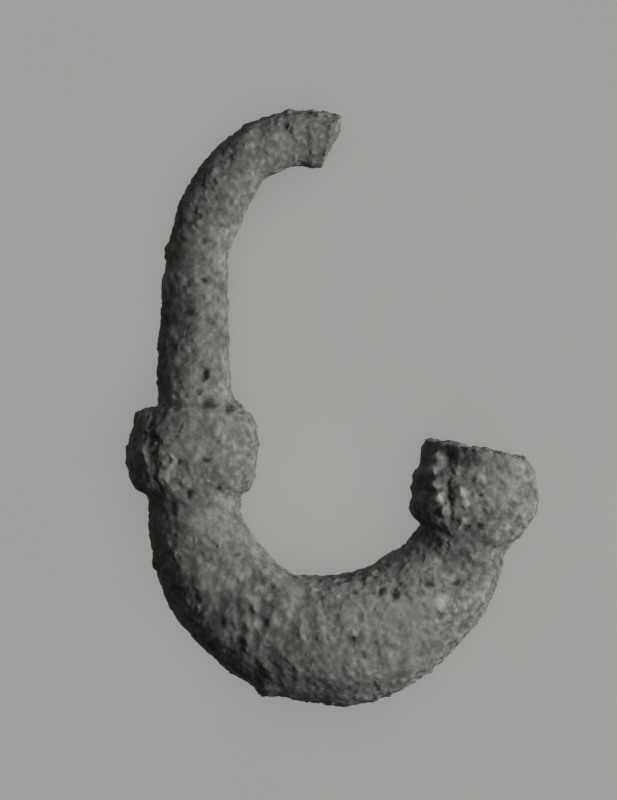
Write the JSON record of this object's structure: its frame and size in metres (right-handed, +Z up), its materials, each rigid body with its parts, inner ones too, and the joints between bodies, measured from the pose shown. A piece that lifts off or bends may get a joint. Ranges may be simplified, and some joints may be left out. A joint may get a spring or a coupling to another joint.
{
  "type": "fibula brooch",
  "caption": "Broken cast-bronze bow fibula: thick crescent bow with a barrel collar and a squared block at its ends, and a tapering arm that curls over. The pin and catch are lost.",
  "frame": {"origin": "under the middle of the brooch's outline, on the plane that it lies on", "axes": "+Y along the brooch's length, from the bow to the curl of the arm; +X towards the block, across the bow's opening; +Z up, out of the plane of the bow"},
  "size_m": [0.037, 0.0535, 0.0103],
  "materials": {
    "bronze_patina": "matte"
  },
  "bodies": {
    "root": {"fibula_bow": "bronze_patina"}
  },
  "joints": []
}
